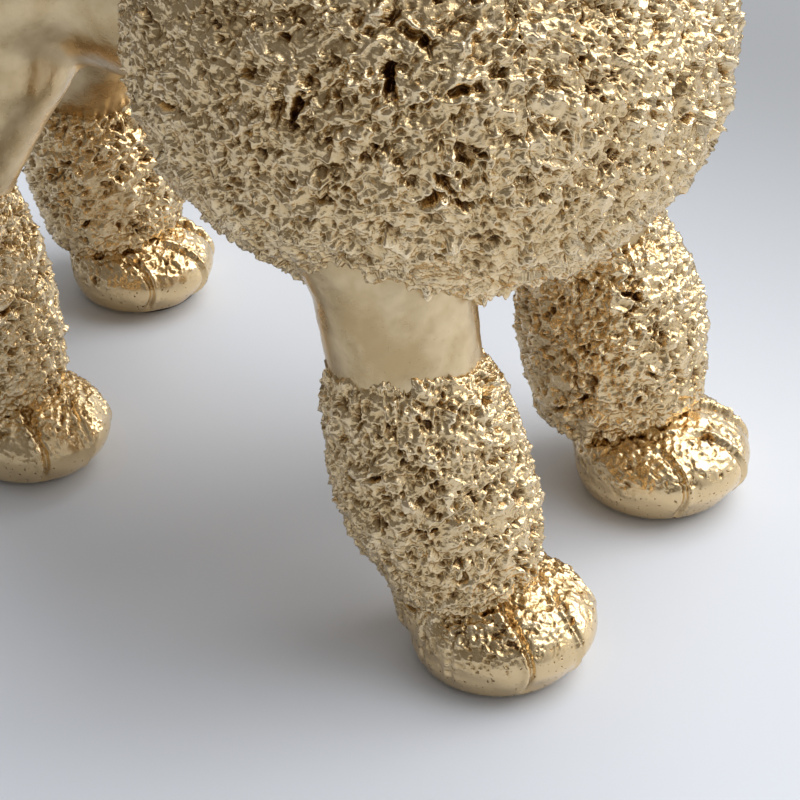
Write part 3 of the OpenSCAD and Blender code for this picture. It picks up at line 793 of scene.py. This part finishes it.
# How far each paw sits from the middle of its felt, as they were pressed on by hand
PAW_SHIFT = {"front_right": Vector((-1.1, 0, 0)) * MM, "front_left": Vector((-0.9, 0.4, 0)) * MM,
             "rear_right": Vector((-0.4, 0, 0)) * MM, "rear_left": Vector((-1.4, 1.0, 0)) * MM}
FRONT_PAW = (48 * MM, 46 * MM, 17.6 * MM)  # length, width and the ankle's radius
REAR_PAW = (44 * MM, 41 * MM, 14.8 * MM)
PAW_CRUST = (1.9, 0.8), (5.0, 0.3), (14.0, 0.5)
for name, shift in PAW_SHIFT.items():
    low, high = corners(name + "_paw")
    side = -1 if "right" in name else 1
    front = name.startswith("front")
    axis, ankle = (front_axis, front_foot[name]) if front else (rear_axis, rear_low[name])
    length, width, ankle_r = FRONT_PAW if front else REAR_PAW
    felt_middle = middle(name + "_felt")
    centre = Vector((felt_middle.x, felt_middle.y, low.z)) + shift
    piece = paw(name + "_paw_casting", ankle, axis, centre, length, width, ankle_r)
    cut_toes(piece, centre, length, width, side)
    points, normals = mesh_arrays(piece.data)
    rise = (points[:, 2] - low.z) / (high.z - low.z)
    ahead = np.clip((centre.y - points[:, 1]) / (length / 2), 0, 1)
    coat = np.clip((rise - 0.02 - 0.3 * ahead) / 0.95, 0, 1)
    crumble(piece, coat, normals, [name + "_paw"], *PAW_CRUST)


# ---- Felt pads ----
# Die-cut discs of dark pressed felt glued under the paws, set in from their edges.

def pressed_felt():
    """Matt dark fibres."""
    material, t, shader = new_material("dark pressed felt")
    place = t.scaled(t.add("ShaderNodeTexCoord", output="Object"), 1 / MM)
    fibre = t.noise(place, 0.5, 4.0, 0.7)
    colour = t.blend_colours(fibre, (0.03, 0.03, 0.032, 1), (0.10, 0.10, 0.105, 1))
    t.plug(shader.inputs["Base Color"], colour)
    bump = t.add("ShaderNodeBump", None, {"Distance": 0.3 * MM, "Height": fibre})
    t.plug(shader.inputs["Normal"], bump)
    shader.inputs["Roughness"].default_value = 0.95
    return material


FELT = pressed_felt()
for name in PAW_SHIFT:
    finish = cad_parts[name + "_felt"].data.materials
    finish.clear()
    finish.append(FELT)


# ---- Neck and ruff ----
# A slip-cast tube luted between the chest and the head, and round it a collar of crumbed clay
# pressed on in one ring that spreads down over the top of the mane.

eye_mid = (middle("right_eye") + middle("left_eye")) / 2
skull_r = abs(middle("left_eye").x) / 0.48
skull_c = eye_mid + Vector((0, 0.84, -0.26)) * skull_r
NECK_LEAN = math.radians(22)
neck_axis = Vector((0, -math.sin(NECK_LEAN), math.cos(NECK_LEAN)))
ruff_middle = skull_c + Vector((0, 6, -8)) * MM - neck_axis * 34 * MM

bm = bmesh.new()
add_taper(bm, ruff_middle - neck_axis * 36 * MM, ruff_middle + neck_axis * 34 * MM,
          16 * MM, 16 * MM)
neck = sponged("neck_casting", bm, 1.5 * MM, 4)
dimple(neck)
place_smooth(neck, "neck_tube")


def crusted_lump(name, bm, nodes, voxel, grain, fold, lump, passes=12):
    """Fuses lumps of clay and crusts the whole of them."""
    piece = sponged(name, bm, voxel, passes)
    points, normals = mesh_arrays(piece.data)
    crumble(piece, np.ones(len(points)), normals, nodes, grain, fold, lump)


bm = bmesh.new()
lean = Matrix.Rotation(NECK_LEAN, 3, "X")
add_ball(bm, ruff_middle, (41 * MM, 41 * MM, 27 * MM), lean)
add_ball(bm, ruff_middle - neck_axis * 9 * MM, (39 * MM, 39 * MM, 25 * MM), lean)
crusted_lump("ruff_crust", bm, ["neck_ruff"], 0.78 * MM,
             (1.6, 0.8), (6.0, 1.1), (16.0, 1.4))


# ---- Head ----
# Skull and muzzle in one slip casting, smooth under the same satin glaze. The brows, cheeks,
# lips and mouth line are modelled in the mould; the nose and eyes are small solid pieces
# pressed into their sockets.

nose_c = middle("nose")
muzzle_tip = nose_c + Vector((0, 8.6, -3.6)) * MM
bm = bmesh.new()
add_ball(bm, skull_c, (22 * MM, 24 * MM, 23 * MM))
add_taper(bm, skull_c + Vector((0, -8, -6)) * MM, muzzle_tip, 15 * MM, 8.6 * MM)
add_ball(bm, muzzle_tip + Vector((0, 1, 0.6)) * MM, (8.4 * MM, 9.0 * MM, 8.2 * MM))
add_ball(bm, muzzle_tip + Vector((0, 5, -5.2)) * MM, (6.4 * MM, 9.5 * MM, 4.6 * MM))
for side in (-1, 1):
    add_ball(bm, muzzle_tip + Vector((side * 3.9, 1.5, -1.6)) * MM, (5.6 * MM, 8.4 * MM, 5.6 * MM))
    add_ball(bm, skull_c + Vector((side * 11.5, -13.5, -8)) * MM, (9 * MM, 11 * MM, 9.5 * MM))
    add_ball(bm, skull_c + Vector((side * 9.6, -17.2, 11.2)) * MM, (7.4 * MM, 5.0 * MM, 3.4 * MM))
    add_ball(bm, skull_c + Vector((side * 11.4, -19.6, 2.4)) * MM, (5.2 * MM, 3.4 * MM, 2.4 * MM))
head = sponged("head_casting", bm, 0.7 * MM, 10)
points, normals = mesh_arrays(head.data)
place = (points - np.asarray(skull_c)) / MM
push = np.zeros(len(points))
for side in (-1, 1):
    socket = (place - np.array([side * 11.5, -20.2, 6.3])) / np.array([5.6, 6.0, 4.4])
    push -= 2.2 * np.exp(-(socket ** 2).sum(1) * 1.6)
lip_line = np.asarray(muzzle_tip - skull_c)[2] / MM - 4.2 + 0.003 * (place[:, 1] + 52) ** 2
mouth = place[:, 2] - lip_line
reach = np.clip((-place[:, 1] - 24) / 6, 0, 1)
push -= 1.1 * reach * np.exp(-(mouth / 0.9) ** 2)
parting = np.clip((-place[:, 1] - 50) / 5, 0, 1) * (mouth > 0)
push -= 0.8 * parting * np.exp(-(place[:, 0] / 0.8) ** 2)
press(head, points, normals, push, MM)
dimple(head, 12 * MM, 0.25 * MM)
place_smooth(head, "head_shell")

bm = bmesh.new()
add_ball(bm, nose_c + Vector((0, 0.4, 0.8)) * MM, (5.0 * MM, 3.9 * MM, 3.4 * MM))
add_ball(bm, nose_c + Vector((0, 0.8, -1.8)) * MM, (2.8 * MM, 3.6 * MM, 2.8 * MM))
nose = sponged("nose_button", bm, 0.3 * MM, 10)
points, normals = mesh_arrays(nose.data)
place = (points - np.asarray(nose_c)) / MM
push = np.zeros(len(points))
for side in (-1, 1):
    nostril = (place - np.array([side * 2.6, -3.2, 0.1])) / np.array([1.2, 2.5, 1.0])
    push -= 1.3 * np.exp(-(nostril ** 2).sum(1))
press(nose, points, normals, push, MM)
dimple(nose, 6 * MM, 0.05 * MM)
place_smooth(nose, "nose")

for side, name in ((-1, "right_eye"), (1, "left_eye")):
    centre = middle(name)
    look = (centre - skull_c).normalized()
    bm = bmesh.new()
    add_ball(bm, centre - look * 1.2 * MM, (3.6 * MM, 3.0 * MM, 2.9 * MM),
             Matrix.Rotation(side * 0.5, 3, "Z"))
    eye = sponged(name + "_ball", bm, 0.22 * MM, 4)
    dimple(eye, 5 * MM, 0.02 * MM)
    place_smooth(eye, name)


# ---- Topknot and ears ----
# The poodle's cap and ear hair, crumbed clay pressed over the skull and over two ear flaps that
# are tenoned into it.

bm = bmesh.new()
top_middle = Vector((0, middle("topknot_coat").y, skull_c.z + skull_r))
add_ball(bm, top_middle, (30 * MM, 33 * MM, 26 * MM))
add_ball(bm, top_middle + Vector((0, -6, 4)) * MM, (26 * MM, 25 * MM, 21.5 * MM))
crusted_lump("topknot_crust", bm, ["topknot_coat"], 0.66 * MM,
             (1.5, 0.75), (5.5, 0.9), (14.0, 1.3))

EAR_LEAN = math.radians(8)
for side, name in ((-1, "right_ear"), (1, "left_ear")):
    hang = Vector((side * math.sin(EAR_LEAN), 0, -math.cos(EAR_LEAN)))
    root = middle(name) - hang * 22 * MM
    bm = bmesh.new()
    turn = Matrix.Rotation(-side * EAR_LEAN, 3, "Y")
    add_ball(bm, root + hang * 6 * MM, (5.6 * MM, 10 * MM, 15 * MM), turn)
    add_ball(bm, root + hang * 22 * MM, (6.2 * MM, 14 * MM, 22 * MM), turn)
    add_ball(bm, root + hang * 33 * MM, (6.6 * MM, 16 * MM, 19 * MM), turn)
    crusted_lump(name + "_crust", bm, [name], 0.56 * MM, (1.3, 0.6), (5.0, 0.6), (11.0, 0.8))


# ---- Tail ----
# A short bare tail luted into the rump, with a ball of crumbed clay pressed over its end.

TAIL_LEAN = math.radians(20)
tail_axis = Vector((0, math.sin(TAIL_LEAN), math.cos(TAIL_LEAN)))
pompon = middle("tail_pompon")
low, high = corners("tail_pompon")
pompon_r = (high.x - low.x) / 2
bm = bmesh.new()
add_taper(bm, pompon - tail_axis * 62 * MM, pompon - tail_axis * 8 * MM, 12 * MM, 7.6 * MM)
tail = sponged("tail_casting", bm, 0.8 * MM, 8)
dimple(tail)
place_smooth(tail, "tail_stem")
bm = bmesh.new()
add_ball(bm, pompon, (pompon_r - 0.6 * MM,) * 3)
crusted_lump("pompon_crust", bm, ["tail_pompon"], 0.54 * MM,
             (1.4, 0.75), (5.5, 0.8), (13.0, 1.1))


# ---- Studio ----
# A pale table, a large soft window light high on the dog's left and behind it, a bright strip of
# wall on that side and a dimmer room in front.

bpy.ops.mesh.primitive_plane_add(size=8.0, location=(0, 0, 0))
table = bpy.context.object
table.name = "table"
table_finish, t, shader = new_material("pale table")
AWAY = (0.995, 0.1, 0)  # the way across the table in which it falls into shade
farther = t.add("ShaderNodeVectorMath", {"operation": "DOT_PRODUCT"},
                {0: t.add("ShaderNodeTexCoord", output="Object"), 1: AWAY}, 1)
# painted shade: the table's colour is painted darker along AWAY, towards its far side
t.plug(shader.inputs["Base Color"], t.blend_colours(
    t.smooth_step(farther, 0.03, 0.28), (0.765, 0.80, 0.86, 1), (0.36, 0.37, 0.385, 1)))
shader.inputs["Roughness"].default_value = 0.5
table.data.materials.append(table_finish)

AZIMUTH, ELEVATION, RANGE = math.radians(-56.86), math.radians(36), 0.778
right = Vector((math.cos(AZIMUTH), math.sin(AZIMUTH), 0))
toward = Vector((math.sin(AZIMUTH), -math.cos(AZIMUTH), 0))
back = toward * math.cos(ELEVATION) + Vector((0, 0, 1)) * math.sin(ELEVATION)
target = Vector((0.03285, -0.0117, 0))  # where the camera looks at the table

lens = bpy.data.cameras.new("camera")
lens.sensor_width, lens.lens = 36, 124.85
camera = bpy.data.objects.new("camera", lens)
camera.location = target + back * RANGE
camera.rotation_euler = (-back).to_track_quat("-Z", "Y").to_euler()
bpy.context.scene.collection.objects.link(camera)
bpy.context.scene.camera = camera
bpy.context.scene.view_settings.view_transform = "Standard"


def soft_light(name, place, size, power, colour):
    """A rectangular light turned towards the dog's legs."""
    data = bpy.data.lights.new(name, "AREA")
    data.shape, data.size, data.size_y = "RECTANGLE", *size
    data.energy, data.color = power, colour
    light = bpy.data.objects.new(name, data)
    light.location = place
    light.rotation_euler = (Vector((0, -0.04, 0.08)) - place).to_track_quat("-Z", "Y").to_euler()
    bpy.context.scene.collection.objects.link(light)


UP = Vector((0, 0, 1))
soft_light("window", right * 1.15 - toward * 0.4 + UP * 2.0,
           (2.2, 1.9), 34, (0.98, 0.99, 1.0))
soft_light("side_wall", right * 1.9 - toward * 0.6 + UP * 0.8,
           (0.9, 0.7), 9, (1.0, 0.98, 0.96))

world = bpy.data.worlds.new("room")
world.use_nodes = True
bpy.context.scene.world = world
t = Tree(world.node_tree)
facing = t.add("ShaderNodeTexCoord", output="Generated")
bright_way = (right * 0.8 - toward * 0.45 + UP * 0.4).normalized()
lit = t.add("ShaderNodeVectorMath", {"operation": "DOT_PRODUCT"},
            {0: facing, 1: tuple(bright_way)}, 1)
background = world.node_tree.nodes["Background"]
t.plug(background.inputs["Color"], t.blend_colours(
    t.smooth_step(lit, -0.35, 0.95), (0.21, 0.20, 0.19, 1), (0.95, 0.97, 1.0, 1)))
background.inputs["Strength"].default_value = 0.9
